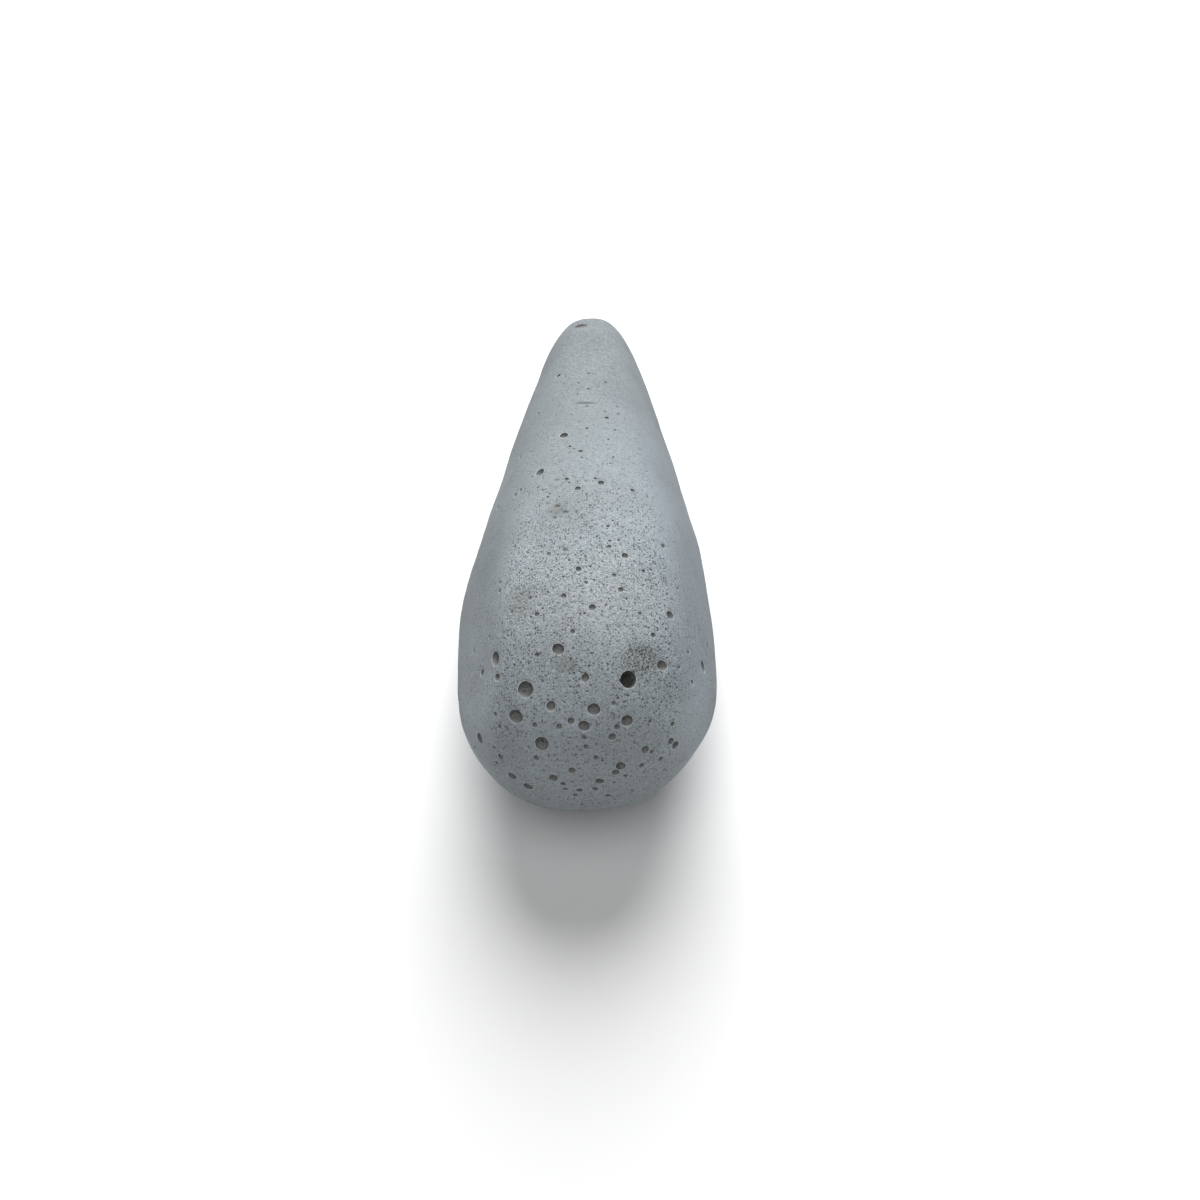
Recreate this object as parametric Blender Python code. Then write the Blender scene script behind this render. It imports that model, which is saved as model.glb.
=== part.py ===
"""Pumice foot stone: one natural piece of stone, as one solid.

The stone is drop-shaped in plan, with a blunt, full end and a narrow, rounded tip. Its top and belly
are crowned, its flanks are flatter, and the worn edges between them are crisp near the blunt end and
fade towards the tip. The belly has a small worn flat that the stone lies on. Round gas pores of many
sizes open all over it, most of them on the blunt end.

Frame: metres, +Z up, +X across the stone, +Y along it from the blunt end to the tip. The origin is on
the surface that the stone lies on, below the middle of its bounding box. Sizes below are in
millimetres about the body's own middle, and MM turns them into metres.
"""

import math
import random

import bmesh
import bpy
import numpy as np
from mathutils import Matrix, Vector, noise

MM = 0.001
NAME = "pumice_stone"

# The worn body, before its pores. Shares are of the size that they change.
HALF_LENGTH = 58.0
HALF_WIDTH = 22.4
TOP_HEIGHT = 25.4
BELLY_DEPTH = 19.6
HALF_SIZES = np.array([HALF_WIDTH, HALF_LENGTH, (TOP_HEIGHT + BELLY_DEPTH) / 2.0])
PLAN_TAPER = 0.40  # the width lost from the middle to the tip, and gained from it to the blunt end
TOP_TAPER = 0.014  # the same for the height of the top
BELLY_TAPER = 0.357  # and for the depth of the belly
FLANK_LEAN = 0.117  # the width lost from mid height to the top and the belly
LEAN_START = 0.14  # the flanks stay upright up to about this height
TOP_CROWN = 0.543  # fall of the top from its middle line to the flanks
BELLY_CROWN = 0.45
CROWN_POWER = 2.66  # 2 is an ellipse, and more is boxier
WAIST_BLEND = 6.0  # the crown changes over from the belly to the top within this height above the middle
BLUNT_END_POWER = 2.44
TIP_END_POWER = 4.36
LEFT_EDGE_POWERS = (2.8, 2.8)  # crispness of the edges on the -X side, at the blunt end and the tip
RIGHT_EDGE_POWERS = (3.3, 2.4)
EDGE_FADE_START = -0.75  # the crispness fades between these two places along the stone
EDGE_FADE_END = 0.45

# Faces that are worn flatter: the way each one looks, as azimuth and elevation in degrees, its
# distance from the body's middle, and the crispness of its edges.
WORN_FACES = (
    (186.4, 26.8, 24.0, 40.0),  # along the -X flank
    (-0.8, 19.7, 21.7, 30.0),  # along the +X flank
    (-31.8, -39.2, 37.7, 16.0),  # low on the blunt end, towards +X
)

# Uneven wear: the breadth and the height of broad, low swells.
SWELLS = ((17.0, 0.40), (7.0, 0.14))

# The stone lies with its tip dipped, because its weight is nearer the tip than the lowest of its belly.
REST_PITCH = math.radians(4.0)
REST_TURN = Matrix.Rotation(-REST_PITCH, 4, "X")
DOWN = REST_TURN.inverted().to_3x3() @ Vector((0.0, 0.0, -1.0))
REST_WEAR = 1.1  # depth of belly that is worn away to the flat

# The faceted body: cells across, along and up its surface.
CELLS = (14, 32, 14)

# Gas pores on the top, from above: across, along, width.
TOP_PORES = (
    (7.0, -48.5, 2.4),
    (-8.75, -49.25, 2.4),
    (-10.25, -52.0, 2.2),
    (-14.0, -43.0, 2.1),
    (1.75, -52.25, 1.9),
    (6.75, -53.25, 1.8),
    (-3.75, -44.5, 1.8),
    (0.25, -54.0, 1.7),
    (-8.25, -8.0, 1.7),
    (-4.25, 1.25, 1.6),
    (12.25, -45.5, 1.6),
    (-4.75, -51.75, 1.5),
    (14.0, -36.75, 1.4),
    (0.5, -48.5, 1.3),
    (-13.5, -46.0, 1.2),
    (2.75, -12.5, 1.2),
    (-6.25, 23.0, 1.1),
    (-1.25, -14.0, 1.1),
    (1.5, -38.25, 1.1),
    (6.75, -28.5, 1.1),
    (-1.75, -53.5, 1.1),
)

# Gas pores on the blunt end, looking at it along +Y: across, up, width.
END_PORES = (
    (-6.25, 9.5, 2.2),
    (-17.0, 4.0, 1.7),
    (-9.0, -0.5, 1.7),
    (-11.5, 1.0, 1.6),
    (5.75, 6.0, 1.6),
    (-4.75, 3.25, 1.5),
    (2.5, 2.75, 1.4),
    (14.25, 6.0, 1.4),
    (5.0, 4.75, 1.3),
    (9.5, 8.0, 1.3),
    (13.5, 7.25, 1.2),
    (-1.75, 5.25, 1.2),
    (4.5, 10.75, 1.2),
    (-0.75, 0.25, 1.1),
    (1.75, 0.5, 1.1),
)
DEEPEST_PORE = 0  # the first pore on the top is the deepest one
PORE_DEPTH = 0.45  # as a share of the pore's width
DEEPEST_DEPTH = 0.85

# Pores strewn over the flanks, the belly and the back of the stone.
STREWN_PORES = 24
STREWN_WIDTHS = (1.1, 2.6)
STREWN_SEED = 11
PORE_GAP = 1.2  # stone left between two strewn pores
FINE_CUTTER_WIDTH = 2.35  # pores this wide and wider get the finer cutter
REST_MARGIN = 1.2  # strewn pores keep this far above the edge of the worn flat

STONE_COLOUR = (0.28, 0.31, 0.32, 1.0)
STONE_ROUGHNESS = 0.95
CREASE_ANGLE = math.radians(38)


def clear_scene():
    for item in list(bpy.data.objects):
        bpy.data.objects.remove(item, do_unlink=True)


def rounded_sum(first, second, power):
    """Joins two measures of fullness: the larger one, with a rounded turn where they are alike."""
    largest = np.maximum(np.maximum(first, second), 1e-9)
    return largest * ((first / largest) ** power + (second / largest) ** power) ** (1.0 / power)


def edge_power(powers, along):
    """Crispness of the long edges at a place along the stone."""
    fade = np.clip((along - EDGE_FADE_START) / (EDGE_FADE_END - EDGE_FADE_START), 0.0, 1.0)
    blunt, tip = powers
    return blunt ** (1.0 - fade) * tip**fade


def facing(azimuth, elevation):
    """Unit direction for an azimuth from +X towards +Y and an elevation, both in degrees."""
    turn, rise = math.radians(azimuth), math.radians(elevation)
    return np.array([math.cos(turn) * math.cos(rise), math.sin(turn) * math.cos(rise), math.sin(rise)])


def fullness(points):
    """How full the worn body is at each point: 1 on its surface, less inside, more outside."""
    along = points[:, 1] / HALF_LENGTH
    across = points[:, 0] / HALF_WIDTH / (1.0 - PLAN_TAPER * along)
    top = points[:, 2] / TOP_HEIGHT / (1.0 - TOP_TAPER * along)
    belly = -points[:, 2] / BELLY_DEPTH / (1.0 - BELLY_TAPER * along)
    up = np.maximum(top, belly)
    lean = np.sqrt(up**2 + LEAN_START**2) - LEAN_START
    flank = np.abs(across) / np.maximum(1.0 - FLANK_LEAN * lean, 0.1)
    turn = np.clip(points[:, 2] / WAIST_BLEND, 0.0, 1.0)
    arch = BELLY_CROWN + (TOP_CROWN - BELLY_CROWN) * turn**2 * (3.0 - 2.0 * turn)
    crown = up + arch * np.abs(across) ** CROWN_POWER
    left = edge_power(LEFT_EDGE_POWERS, along)
    right = edge_power(RIGHT_EDGE_POWERS, along)
    section = rounded_sum(crown, flank, np.where(across < 0.0, left, right))
    end_power = np.where(along < 0.0, BLUNT_END_POWER, TIP_END_POWER)
    full = rounded_sum(section, np.abs(along), end_power)
    for azimuth, elevation, distance, crispness in WORN_FACES:
        beyond = np.maximum(points @ facing(azimuth, elevation) / distance, 0.0)
        full = rounded_sum(full, beyond, crispness)
    return full


def swell(point):
    """Height of the uneven wear at one point."""
    return sum(height * noise.noise(Vector(point) / breadth) for breadth, height in SWELLS)


def meet_surface(outside, inside):
    """Where the line from each outside point to its inside point enters the worn body."""
    outside = np.array(outside, float)
    inside = np.array(inside, float)
    for _ in range(30):
        middle = (outside + inside) / 2.0
        within = (fullness(middle) < 1.0)[:, None]
        inside = np.where(within, middle, inside)
        outside = np.where(within, outside, middle)
    return outside


def outward(points):
    """Unit normals of the worn body at points on it."""
    step = 0.05
    slopes = [fullness(points + side) - fullness(points - side) for side in np.eye(3) * step]
    normals = np.stack(slopes, axis=1)
    return normals / np.linalg.norm(normals, axis=1, keepdims=True)


def worn_surface(outside, inside):
    """Points on the finished surface, swells included, and its normals there."""
    points = meet_surface(outside, inside)
    normals = outward(points)
    lift = np.array([swell(point) for point in points])
    return points + normals * lift[:, None], normals


def box_shell(cells):
    """Corners and faces of a box from -1 to 1 whose sides are divided into cells."""
    corners = {}
    faces = []
    for axis in range(3):
        first, second = (axis + 1) % 3, (axis + 2) % 3
        for side in (0, cells[axis]):
            for i in range(cells[first]):
                for j in range(cells[second]):
                    ring = [(i, j), (i + 1, j), (i + 1, j + 1), (i, j + 1)]
                    if side == 0:
                        ring.reverse()
                    face = []
                    for u, v in ring:
                        spot = [0, 0, 0]
                        spot[axis], spot[first], spot[second] = side, u, v
                        face.append(corners.setdefault(tuple(spot), len(corners)))
                    faces.append(face)
    spread = [[2.0 * spot[k] / cells[k] - 1.0 for k in range(3)] for spot in corners]
    return np.array(spread), faces


def body_mesh(cells):
    """The worn body without pores, cut off flat at the belly, and the depth of that flat."""
    corners, faces = box_shell(cells)
    spokes = np.tan(corners * math.pi / 4.0) * HALF_SIZES
    points, _ = worn_surface(spokes * 2.0, np.zeros_like(spokes))
    shell = bmesh.new()
    made = [shell.verts.new(Vector(point)) for point in points]
    for face in faces:
        shell.faces.new([made[index] for index in face])
    rest_depth = max(vert.co.dot(DOWN) for vert in shell.verts) - REST_WEAR
    cut = bmesh.ops.bisect_plane(
        shell,
        geom=shell.verts[:] + shell.edges[:] + shell.faces[:],
        dist=0.02,
        plane_co=DOWN * rest_depth,
        plane_no=DOWN,
        clear_outer=True,
    )
    rim = [item for item in cut["geom_cut"] if isinstance(item, bmesh.types.BMEdge)]
    for vert in {vert for edge in rim for vert in edge.verts}:
        vert.co += DOWN * (rest_depth - vert.co.dot(DOWN))
    bmesh.ops.contextual_create(shell, geom=rim)
    bmesh.ops.recalc_face_normals(shell, faces=shell.faces[:])
    return shell, rest_depth


def listed_pores():
    """Place, normal, width and depth share of each pore that is set by hand."""
    top = np.array([(across, along) for across, along, _ in TOP_PORES])
    end = np.array([(across, up) for across, up, _ in END_PORES])
    above = np.column_stack([top, np.full(len(top), 60.0)])
    within = np.column_stack([top, np.zeros(len(top))])
    before = np.column_stack([end[:, 0], np.full(len(end), -90.0), end[:, 1]])
    behind = np.column_stack([end[:, 0], np.full(len(end), -20.0), end[:, 1]])
    points, normals = worn_surface(np.vstack([above, before]), np.vstack([within, behind]))
    widths = [width for _, _, width in TOP_PORES + END_PORES]
    depths = [PORE_DEPTH] * len(widths)
    depths[DEEPEST_PORE] = DEEPEST_DEPTH
    return list(zip(points, normals, widths, depths))


def strewn_pores(taken, rest_depth):
    """Pores at random on the faces that the listed ones leave bare, thickest at the blunt end."""
    draw = random.Random(STREWN_SEED)
    smallest, largest = STREWN_WIDTHS
    pores = []
    while len(pores) < STREWN_PORES:
        spoke = np.array([[draw.gauss(0, 1) for _ in range(3)]])
        spoke *= HALF_SIZES / np.linalg.norm(spoke)
        keep = draw.random()
        width = smallest * (largest / smallest) ** (draw.random() ** 2.2)
        points, normals = worn_surface(spoke * 3.0, np.zeros((1, 3)))
        point, normal = points[0], normals[0]
        shown = normal[2] > 0.35 or normal[1] < -0.6
        thickness = 0.9 - 0.7 * (point[1] / HALF_LENGTH + 1.0) / 2.0
        low = Vector(point).dot(DOWN) + width > rest_depth - REST_MARGIN
        if shown or low or keep > thickness:
            continue
        near = any(
            np.linalg.norm(point - other[0]) < (width + other[2]) / 2.0 + PORE_GAP
            for other in taken + pores
        )
        if not near:
            pores.append((point, normal, width, PORE_DEPTH))
    return pores


def add_cutter(cutters, pore, spin):
    """A bubble that opens at the surface with the pore's width and goes in to its depth."""
    point, normal, width, depth_share = pore
    depth = width * depth_share
    radius = (width**2 / 4.0 + depth**2) / (2.0 * depth)
    centre = Vector(point) - Vector(normal) * (depth - radius)
    turn = Vector(normal).to_track_quat("Z", "Y").to_matrix().to_4x4()
    bmesh.ops.create_icosphere(
        cutters,
        subdivisions=3 if width >= FINE_CUTTER_WIDTH else 2,
        radius=radius,
        matrix=Matrix.Translation(centre) @ turn @ Matrix.Rotation(spin, 4, "Z"),
    )


def mesh_object(name, shell):
    mesh = bpy.data.meshes.new(name)
    shell.transform(Matrix.Scale(MM, 4))
    shell.to_mesh(mesh)
    shell.free()
    item = bpy.data.objects.new(name, mesh)
    bpy.context.scene.collection.objects.link(item)
    return item


def carve(stone, cutters):
    """Cuts the bubbles out of the stone and keeps the result as the stone's own mesh."""
    cutters.hide_render = True
    cutters.display_type = "WIRE"
    cut = stone.modifiers.new("pores", "BOOLEAN")
    cut.operation = "DIFFERENCE"
    cut.solver = "EXACT"
    cut.object = cutters
    graph = bpy.context.evaluated_depsgraph_get()
    carved = bpy.data.meshes.new_from_object(stone.evaluated_get(graph))
    stone.modifiers.clear()
    plain = stone.data
    stone.data = carved
    bpy.data.meshes.remove(plain)
    carved.name = NAME
    bpy.data.objects.remove(cutters, do_unlink=True)


def stand_on_origin(stone):
    """Lays the stone on its flat, with the origin at the bottom, below the middle of its box."""
    stone.data.transform(REST_TURN)
    corners = np.array([vert.co[:] for vert in stone.data.vertices])
    low, high = corners.min(axis=0), corners.max(axis=0)
    middle = (low + high) / 2.0
    stone.data.transform(Matrix.Translation((-middle[0], -middle[1], -low[2])))


def stone_material():
    material = bpy.data.materials.new("pumice")
    material.use_nodes = True
    shader = material.node_tree.nodes["Principled BSDF"]
    shader.inputs["Base Color"].default_value = STONE_COLOUR
    shader.inputs["Roughness"].default_value = STONE_ROUGHNESS
    shader.inputs["Metallic"].default_value = 0.0
    material.diffuse_color = STONE_COLOUR
    return material


def make_stone():
    shell, rest_depth = body_mesh(CELLS)
    pores = listed_pores()
    pores += strewn_pores(pores, rest_depth)
    spins = random.Random(STREWN_SEED + 1)
    cutters = bmesh.new()
    for pore in pores:
        add_cutter(cutters, pore, spins.uniform(0.0, math.tau))
    stone = mesh_object(NAME, shell)
    carve(stone, mesh_object("pore_cutters", cutters))
    stand_on_origin(stone)
    stone.data.materials.clear()
    stone.data.materials.append(stone_material())
    stone.data.shade_smooth()
    stone.data.set_sharp_from_angle(angle=CREASE_ANGLE)
    return stone


clear_scene()
make_stone()
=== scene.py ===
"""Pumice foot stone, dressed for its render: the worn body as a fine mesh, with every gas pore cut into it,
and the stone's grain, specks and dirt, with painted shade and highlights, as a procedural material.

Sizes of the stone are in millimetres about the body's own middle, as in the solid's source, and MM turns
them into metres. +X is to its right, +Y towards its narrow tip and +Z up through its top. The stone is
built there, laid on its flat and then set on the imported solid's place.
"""

import math
import random

import bmesh
import bpy
import numpy as np
from mathutils import Matrix, Vector, noise


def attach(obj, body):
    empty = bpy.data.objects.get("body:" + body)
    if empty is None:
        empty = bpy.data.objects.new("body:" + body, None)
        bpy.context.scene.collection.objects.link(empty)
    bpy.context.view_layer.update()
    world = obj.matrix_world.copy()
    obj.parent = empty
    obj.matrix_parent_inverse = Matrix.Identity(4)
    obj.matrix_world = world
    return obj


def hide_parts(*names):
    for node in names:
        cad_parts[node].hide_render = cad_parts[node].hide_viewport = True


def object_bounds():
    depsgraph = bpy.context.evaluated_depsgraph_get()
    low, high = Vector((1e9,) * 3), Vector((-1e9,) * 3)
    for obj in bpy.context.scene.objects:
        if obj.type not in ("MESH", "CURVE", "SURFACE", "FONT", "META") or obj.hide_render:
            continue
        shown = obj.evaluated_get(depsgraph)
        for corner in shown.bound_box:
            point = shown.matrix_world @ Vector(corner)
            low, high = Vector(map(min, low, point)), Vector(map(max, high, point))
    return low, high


MM = 0.001
NAME = "pumice_stone_surface"

# The worn body, as in the solid's source. Tapers, lean and crowns are shares of the size that they change.
HALF_LENGTH = 58.0
HALF_WIDTH = 22.4
TOP_HEIGHT = 25.4
BELLY_DEPTH = 19.6
HALF_SIZES = np.array([HALF_WIDTH, HALF_LENGTH, (TOP_HEIGHT + BELLY_DEPTH) / 2.0])
PLAN_TAPER = 0.40
TOP_TAPER = 0.014
BELLY_TAPER = 0.357
FLANK_LEAN = 0.117
LEAN_START = 0.14
TOP_CROWN = 0.543
BELLY_CROWN = 0.45
CROWN_POWER = 2.66
WAIST_BLEND = 6.0  # the crown changes over from the belly to the top within this height above the middle
BLUNT_END_POWER = 2.44
TIP_END_POWER = 4.36
LEFT_EDGE_POWERS = (2.8, 2.8)
RIGHT_EDGE_POWERS = (3.3, 2.4)
EDGE_FADE_START = -0.75
EDGE_FADE_END = 0.45

# Faces that are worn flatter: azimuth and elevation, distance from the middle, crispness of their edges.
WORN_FACES = (
    (186.4, 26.8, 24.0, 40.0),
    (-0.8, 19.7, 21.7, 30.0),
    (-31.8, -39.2, 37.7, 16.0),
)

# Uneven wear: breadth and height of its swells. The solid's source has all but the last, finest ones.
SWELLS = ((17.0, 0.40), (7.0, 0.14), (2.4, 0.05))

# The flat that the stone lies on, and the way down to it.
REST_PITCH = math.radians(4.0)
REST_TURN = Matrix.Rotation(-REST_PITCH, 4, "X")
DOWN = REST_TURN.inverted().to_3x3() @ Vector((0.0, 0.0, -1.0))
REST_WEAR = 1.1

# The mesh before its pores are cut: cells across, along and up.
CELLS = ((46, 112, 46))
CREASE_ANGLE = math.radians(38)

# Gas pores on the top, from above: across, along, width.
TOP_PORES = (
    (7.0, -48.5, 2.4),
    (-8.75, -49.25, 2.4),
    (-10.25, -52.0, 2.2),
    (-14.0, -43.0, 2.1),
    (1.75, -52.25, 1.9),
    (6.75, -53.25, 1.8),
    (-3.75, -44.5, 1.8),
    (0.25, -54.0, 1.7),
    (-8.25, -8.0, 1.7),
    (-4.25, 1.25, 1.6),
    (12.25, -45.5, 1.6),
    (-4.75, -51.75, 1.5),
    (14.0, -36.75, 1.4),
    (0.5, -48.5, 1.3),
    (-13.5, -46.0, 1.2),
    (2.75, -12.5, 1.2),
    (-6.25, 23.0, 1.1),
    (-1.25, -14.0, 1.1),
    (1.5, -38.25, 1.1),
    (6.75, -28.5, 1.1),
    (-1.75, -53.5, 1.1),
)

# Gas pores on the blunt end, looking at it along +Y: across, up, width.
END_PORES = (
    (-6.25, 9.5, 2.2),
    (-17.0, 4.0, 1.7),
    (-9.0, -0.5, 1.7),
    (-11.5, 1.0, 1.6),
    (5.75, 6.0, 1.6),
    (-4.75, 3.25, 1.5),
    (2.5, 2.75, 1.4),
    (14.25, 6.0, 1.4),
    (5.0, 4.75, 1.3),
    (9.5, 8.0, 1.3),
    (13.5, 7.25, 1.2),
    (-1.75, 5.25, 1.2),
    (4.5, 10.75, 1.2),
    (-0.75, 0.25, 1.1),
    (1.75, 0.5, 1.1),
)

# Depths of pores, as shares of their width, and the one of TOP_PORES that is the deepest.
PORE_DEPTH = 0.45
DEEPEST_DEPTH = 0.85
DEEPEST_PORE = 0

# Pores of the top that are wider or longer than listed: which one, its gain in width, the way that it is
# long, and its stretch.
SHAPED_PORES = (
    (0, 1.07, (0.0, -1.0, -0.4), 1.04),
    (1, 1.07, (1.0, -0.3, -0.2), 1.02),
    (2, 1.06, (1.0, -0.2, 0.2), 1.07),
    (3, 1.10, (0.8, -1.0, -0.4), 1.15),
    (4, 1.0, (1.0, 0.0, 0.0), 1.04),
    (6, 1.06, (1.0, 0.0, 0.0), 1.03),
    (7, 1.0, (1.0, 0.0, 0.0), 1.05),
    (10, 1.1, (1.0, 0.0, -0.5), 1.08),
    (12, 1.08, (1.0, 0.0, -0.5), 1.05),
)

# Pores strewn over the flanks, the belly and the back of the stone, as in the solid's source.
STREWN_PORES = 24
STREWN_WIDTHS = (1.1, 2.6)
STREWN_POWER = 2.2  # more makes more of them narrow
STREWN_SEED = 11
PORE_GAP = 1.2
REST_MARGIN = 1.2

# Skin that faces up, or towards -Y, by more than this is on the top or the blunt end.
FACING_UP = 0.35
FACING_END = 0.6

# Where the lines start and end along which listed pores are set on the skin.
OUTSIDE = 60.0
BEFORE_END = -90.0
INSIDE_END = -20.0

# Smaller pores, which the solid leaves out: on the top, and on the blunt end.
SMALL_TOP_PORES = (
    (5.75, -48.75, 0.6), (7.75, -47.5, 0.7), (0.5, -48.0, 0.6), (-7.75, -50.5, 0.4),
    (-0.75, -31.5, 1.0), (6.0, -35.0, 0.9), (11.0, -41.5, 0.9), (-3.0, -36.25, 0.9),
    (3.75, 6.75, 0.9), (13.25, -23.5, 0.9), (-3.5, -54.0, 0.9), (5.25, -54.0, 0.9),
    (8.25, -13.25, 0.9), (-13.0, 2.5, 0.8), (-1.0, -4.0, 0.8), (-12.75, -10.25, 0.8),
    (-3.25, -11.5, 0.8), (-7.0, -45.0, 0.8), (-7.25, -53.5, 0.8), (-7.25, -38.75, 0.8),
    (-1.5, -42.0, 0.8), (5.0, -32.5, 0.7), (0.0, 3.0, 0.7), (4.75, -51.5, 0.7),
    (-11.75, -10.0, 0.7), (4.25, -27.0, 0.7), (-10.0, 13.5, 0.7), (15.0, -44.5, 0.7),
    (9.75, -30.75, 0.7), (0.5, -34.0, 0.6), (4.0, -22.75, 0.6), (3.5, 19.0, 0.6),
    (0.0, 16.25, 0.6), (1.75, -11.5, 0.6), (9.0, -38.5, 0.6), (10.25, -52.75, 0.6),
    (-3.0, -2.5, 0.6), (9.25, -44.25, 0.5), (14.5, -47.5, 0.5), (5.75, -25.5, 0.5),
    (-10.5, 0.25, 0.5), (5.25, 3.25, 0.5), (0.0, 21.75, 0.5), (-2.0, 18.5, 0.5),
    (10.75, -13.25, 0.5), (-6.5, -15.25, 0.5), (11.0, -5.75, 0.4),
)
SMALL_END_PORES = (
    (-13.25, 4.25, 1.1), (-3.25, 2.0, 1.0), (-7.25, 7.0, 1.0), (12.0, 5.0, 0.9),
    (13.75, 9.5, 0.9), (2.0, 7.75, 0.9), (-1.5, -1.25, 0.9), (9.0, 5.25, 0.9),
    (3.75, -1.75, 0.9), (-3.0, 0.5, 0.8), (-13.0, 9.25, 0.8), (6.5, 3.75, 0.8),
    (0.5, 9.5, 0.8), (0.25, 10.75, 0.8), (-0.5, -4.75, 0.8), (-13.75, 10.25, 0.8),
    (10.5, 7.25, 0.8), (-14.0, 2.25, 0.8), (-14.25, 5.25, 0.6), (4.75, 2.25, 0.6),
    (3.0, 7.25, 0.5), (0.0, -1.25, 0.5),
)

# The same on the flanks: side (-1 or 1), along, up, width.
SIDE_PORES = (
    (-1, -42.75, 10.75, 1.3), (-1, -8.25, 15.75, 0.9), (-1, -31.25, 17.75, 0.8),
    (-1, -29.5, 18.0, 0.7), (1, -30.5, 17.25, 0.6), (-1, -38.0, 14.0, 0.7),
    (-1, -36.0, 8.0, 0.8), (1, -32.5, 9.0, 0.8), (1, -13.5, 15.0, 0.7),
    (1, -41.0, 13.5, 0.7), (1, -45.0, 11.0, 0.8),
)

# Pores that are worn down to shallow dishes: across, along, width. The first is the one on the tip.
DISHES = (
    (-2.25, 43.0, 3.0), (-4.75, -18.25, 1.2), (-3.25, -19.75, 1.0), (-5.75, -28.25, 0.9),
    (-3.0, -27.75, 0.9), (6.0, 8.75, 0.9), (-5.0, -20.75, 0.8), (-11.5, -37.0, 0.8),
    (-8.5, -35.75, 0.8), (-5.0, -11.5, 0.7), (-7.5, -13.25, 0.7),
)
DISH_DEPTH = 0.2

# Fine pores all over the stone, at random.
FINE_PORES = 800
FINE_TRIES = 6  # places drawn for each of them, because many are refused
FINE_WIDTHS = (0.28, 0.95)
SHOWN_FINE_WIDTH = 0.45  # the widest of them on the top and the blunt end, where wider ones are listed
FINE_POWER = 2.0  # more makes more of them narrow
FINE_DEPTHS = (0.5, 0.75)
FINE_SEED = 5

# A pore's cutter, turned about the surface's normal: rings in its bowl and sides round it, by width.
CUTTER_GRADES = ((1.55, 7, 28), (0.8, 5, 20), (0.45, 3, 12), (0.0, 2, 8))
BOWL_POWER = 2.5  # 2 is round, and more has steeper walls and a flatter floor
LIP_FLARE = (0.08, 0.022)  # how far the worn lip opens, in millimetres and as a share of the width
LIP_SLOPE = 0.4
CAP_RISE = 0.25  # the cutter's height above the surface
PORE_UNEVENNESS = 0.08  # how far a pore's wall strays from round, as a share of its radius
FINE_UNEVENNESS = 0.035
PORE_STRETCH = 0.14  # how much longer than round a small pore is, at most
LISTED_STRETCH = 0.05  # and a wider one
CUTTER_SPREAD = 1.25  # how much further than its brim a stretched, uneven cutter may reach
SHADED_WIDTH = 0.7  # the walls of pores this wide and wider get painted shade towards the back
BACK_OF_PORE = (-0.25, 0.75, 0.61)  # the way that is the back, from the middle of the pore
BACK_REACH = 1.7  # how far from its middle a point can lie and be in the pore, as a share of the radius
SKIN_TOLERANCE = 0.01  # depths up to this much are those of the skin
DEEPEST_MARKED = 3.0

# Colours of the stone: its skin, its specks and pores, and its dirt, with painted shade, highlights and
# bluish light.
PALE_STONE = (0.302, 0.336, 0.353, 1.0)
DARK_STONE = (0.270, 0.300, 0.315, 1.0)
# painted shade of holes too fine to be cut
PAINTED_HOLE_SHADE = (0.105, 0.11, 0.11, 1.0)
# pores' walls: brownish dirt darkened with painted shade, then more painted shade at the back and deep down
PIT_DIRT_AND_SHADE = (0.232, 0.236, 0.228, 1.0)
PAINTED_PIT_SHADE = (0.155, 0.158, 0.152, 1.0)
PAINTED_DEEP_SHADE = (0.065, 0.068, 0.062, 1.0)
# painted bluish light, multiplied into the skin along its right side
PAINTED_BLUE_LIGHT_TINT = (0.97, 0.985, 1.02, 1.0)
# painted highlights: on the pores' lips and as glints, and the paler one on the back of the lips
PAINTED_HIGHLIGHT = (0.42, 0.455, 0.47, 1.0)
PAINTED_BACK_RIM_HIGHLIGHT = (0.60, 0.64, 0.65, 1.0)
GRIME = (0.055, 0.056, 0.05, 1.0)
EARTH = (0.18, 0.188, 0.176, 1.0)
WARM_STONE = (0.375, 0.38, 0.375, 1.0)

# Dirt on the skin: its middle, its reach along each axis, how far it is broken up into specks (0 to 1),
# its colour and its strength.
STAINS = (
    ((1.0, -37.0, 21.0), (16.0, 10.0, 8.0), 0.0, WARM_STONE, 0.22),
    ((9.0, -45.5, 17.5), (3.8, 3.2, 4.0), 0.3, EARTH, 0.40),
    ((9.0, -45.5, 17.5), (4.4, 3.6, 4.0), 1.0, GRIME, 0.90),
    ((-2.5, -46.7, 18.0), (2.6, 1.5, 3.0), 0.6, EARTH, 0.75),
    ((-10.0, -35.5, 20.0), (3.0, 4.4, 4.0), 0.7, EARTH, 0.75),
    ((-4.5, -18.5, 24.5), (3.2, 3.4, 3.0), 0.3, EARTH, 0.35),
    ((-4.75, -19.0, 24.5), (1.6, 1.6, 3.0), 0.3, EARTH, 0.45),
    ((-0.4, 11.5, 25.3), (2.9, 0.5, 3.0), 0.3, GRIME, 0.75),
)

# Places along the stone, and what the skin is like there: how rough, how blotchy, and how much painted
# bluish light falls on its right side.
GRAIN_ALONG = (
    (-50.0, 1.1), (-42.0, 1.35), (-33.0, 1.7), (-22.0, 0.95), (-8.0, 0.5), (8.0, 0.34), (40.0, 0.45),
)
BLOTCHES_ALONG = ((5.0, 0.3), (35.0, 1.0))
PAINTED_BLUE_LIGHT_ALONG = ((-52.0, 0.0), (-44.0, 1.0), (5.0, 1.0), (20.0, 0.0))
SMOOTH_FLANK = 0.6  # how much less rough and blotchy a flank is
SMOOTH_END = 0.4  # how much less rough the blunt end is

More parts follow.
